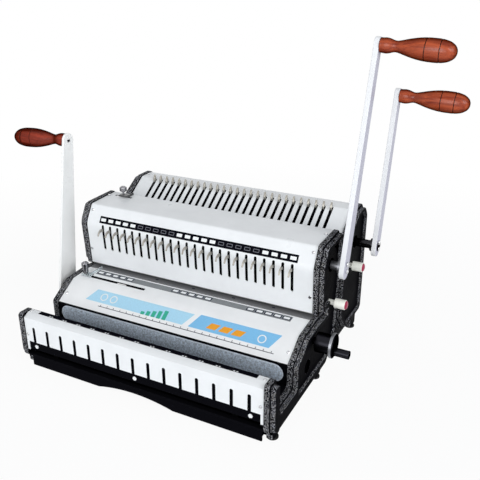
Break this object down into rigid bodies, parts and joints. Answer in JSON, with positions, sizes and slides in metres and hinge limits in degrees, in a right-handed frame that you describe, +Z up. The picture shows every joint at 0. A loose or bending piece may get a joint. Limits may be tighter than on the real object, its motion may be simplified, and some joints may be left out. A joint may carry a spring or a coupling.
{
  "type": "wire binding machine",
  "caption": "Desk punch and wire closer with cast side frames, white covers, slotted hoods with hooks, and levers with turned wooden grips that drive the punches and the closing bar.",
  "frame": {"origin": "on the table top, at the middle of the box around the whole machine with its levers at rest", "axes": "+X to the right as the user faces it, +Y towards its back, +Z up"},
  "size_m": [0.673, 0.3798, 0.4784],
  "materials": {
    "cast_black": "speckled hammer finish",
    "rubber": "matt",
    "sheet_black": "satin enamel",
    "steel": "ground",
    "dark_steel": "blackened",
    "bronze": "turned",
    "cover_white": "smooth enamel",
    "strip_black": "printed strip",
    "strip_grey": "printed strip",
    "inlay_grey": "fine texture",
    "screw_bright": "bright",
    "lever_grey": "smooth enamel",
    "grip_wood": "lacquered",
    "hook_steel": "bright plated",
    "dial_black": "moulded",
    "dial_silver": "brushed",
    "knob_white": "moulded",
    "cap_red": "moulded",
    "guide_clear": "clear sheet"
  },
  "bodies": {
    "body": {"left_frame": "cast_black", "right_frame": "cast_black", "rear_left_frame": "cast_black", "rear_right_frame": "cast_black", "foot_pads": "rubber", "base_rails": "sheet_black", "tie_rods": "steel", "shaft_bushes": "bronze", "closer_cover": "cover_white", "closer_scale": "strip_black", "closer_anvil": "sheet_black", "trough_sheet": "sheet_black", "front_panel": "sheet_black", "front_inlay": "inlay_grey", "table_cover": "cover_white", "table_scale": "strip_grey", "front_die": "steel", "front_punch_guide": "steel", "hood": "cover_white", "hood_strip": "strip_black", "rear_die": "steel", "rear_punch_guide": "steel", "rear_hood": "cover_white", "back_cover": "cover_white", "cover_screws": "screw_bright"},
    "drawer": {"chip_drawer": "sheet_black"},
    "left_lever": {"closer_shaft": "steel", "left_lever": "lever_grey", "left_grip": "grip_wood", "left_lever_bolts": "screw_bright"},
    "closing_slides": {"closing_slides": "steel"},
    "closing_bar": {"closing_bar": "sheet_black", "closing_bar_screws": "screw_bright"},
    "front_lever": {"front_shaft": "dark_steel", "front_gears": "steel", "front_lever": "lever_grey", "front_grip": "grip_wood", "front_lever_bolts": "screw_bright"},
    "front_punch": {"front_punch_bar": "steel", "front_punch_pins": "steel"},
    "front_hooks": {"front_hook_rack": "hook_steel"},
    "rear_lever": {"rear_shaft": "dark_steel", "rear_gears": "steel", "rear_lever": "lever_grey", "rear_grip": "grip_wood", "rear_lever_bolts": "screw_bright"},
    "rear_punch": {"rear_punch_bar": "steel", "rear_punch_pins": "steel"},
    "rear_fingers": {"rear_hook_rack": "hook_steel"},
    "gap_dial": {"gap_dial": "dial_black", "dial_plate": "dial_silver"},
    "front_margin": {"front_margin_knob": "knob_white", "front_margin_cap": "cap_red"},
    "rear_margin": {"rear_margin_knob": "knob_white", "rear_margin_cap": "cap_red"},
    "front_guide": {"front_edge_guide": "guide_clear"},
    "front_screw": {"front_guide_screw": "screw_bright"},
    "rear_guide": {"rear_edge_guide": "guide_clear"},
    "rear_screw": {"rear_guide_screw": "screw_bright"}
  },
  "joints": [
    {"name": "drawer_slide", "type": "slide", "parent": "body", "child": "drawer", "axis": [0, -1, 0], "range_m": [0, 0.2]},
    {"name": "left_lever_hinge", "type": "hinge", "parent": "body", "child": "left_lever", "pos_m": [-0.007, -0.06842, 0.05], "axis": [1, 0, 0], "range_deg": [0, 60]},
    {"name": "closing_slides_slide", "type": "slide", "parent": "body", "child": "closing_slides", "axis": [0, 1, 0], "range_m": [0, 0.0085]},
    {"name": "closing_bar_slide", "type": "slide", "parent": "body", "child": "closing_bar", "axis": [0, 0, -1], "range_m": [0, 0.0061]},
    {"name": "front_lever_hinge", "type": "hinge", "parent": "body", "child": "front_lever", "pos_m": [-0.007, 0.01058, 0.173], "axis": [1, 0, 0], "range_deg": [0, 80]},
    {"name": "front_punch_slide", "type": "slide", "parent": "body", "child": "front_punch", "axis": [0, 0, -1], "range_m": [0, 0.0112]},
    {"name": "front_hooks_slide", "type": "slide", "parent": "body", "child": "front_hooks", "axis": [0, 0, -1], "range_m": [0, 0.0225]},
    {"name": "rear_lever_hinge", "type": "hinge", "parent": "body", "child": "rear_lever", "pos_m": [-0.007, 0.12258, 0.167], "axis": [1, 0, 0], "range_deg": [0, 80]},
    {"name": "rear_punch_slide", "type": "slide", "parent": "body", "child": "rear_punch", "axis": [0, -1, 0], "range_m": [0, 0.0112]},
    {"name": "rear_fingers_slide", "type": "slide", "parent": "body", "child": "rear_fingers", "axis": [0, -0.8211, -0.5707], "range_m": [0, 0.0225]},
    {"name": "gap_dial_hinge", "type": "hinge", "parent": "body", "child": "gap_dial", "pos_m": [-0.007, -0.04542, 0.079], "axis": [1, 0, 0], "range_deg": [0, 270]},
    {"name": "front_margin_hinge", "type": "hinge", "parent": "body", "child": "front_margin", "pos_m": [-0.007, 0.01058, 0.1145], "axis": [1, 0, 0], "range_deg": [0, 180]},
    {"name": "rear_margin_hinge", "type": "hinge", "parent": "body", "child": "rear_margin", "pos_m": [-0.007, 0.08658, 0.1425], "axis": [1, 0, 0], "range_deg": [0, 180]},
    {"name": "front_guide_slide", "type": "slide", "parent": "body", "child": "front_guide", "axis": [1, 0, 0], "range_m": [0, 0.11]},
    {"name": "front_screw_turn", "type": "hinge", "parent": "front_guide", "child": "front_screw", "pos_m": [-0.19, -0.06042, 0.102], "axis": [0, 0, 1], "continuous": true},
    {"name": "rear_guide_slide", "type": "slide", "parent": "body", "child": "rear_guide", "axis": [1, 0, 0], "range_m": [-0.012, 0.012]},
    {"name": "rear_screw_turn", "type": "hinge", "parent": "rear_guide", "child": "rear_screw", "pos_m": [-0.174, 0.03158, 0.212], "axis": [0, 0, 1], "continuous": true}
  ],
  "couplings": [
    {"joint": "closing_slides_slide", "follows": "left_lever_hinge", "m_per_rad": 0.008},
    {"joint": "closing_bar_slide", "follows": "left_lever_hinge", "m_per_rad": 0.0057296},
    {"joint": "front_punch_slide", "follows": "front_lever_hinge", "m_per_rad": 0.008},
    {"joint": "front_hooks_slide", "follows": "front_lever_hinge", "m_per_rad": 0.016},
    {"joint": "rear_punch_slide", "follows": "rear_lever_hinge", "m_per_rad": 0.008},
    {"joint": "rear_fingers_slide", "follows": "rear_lever_hinge", "m_per_rad": 0.016}
  ]
}
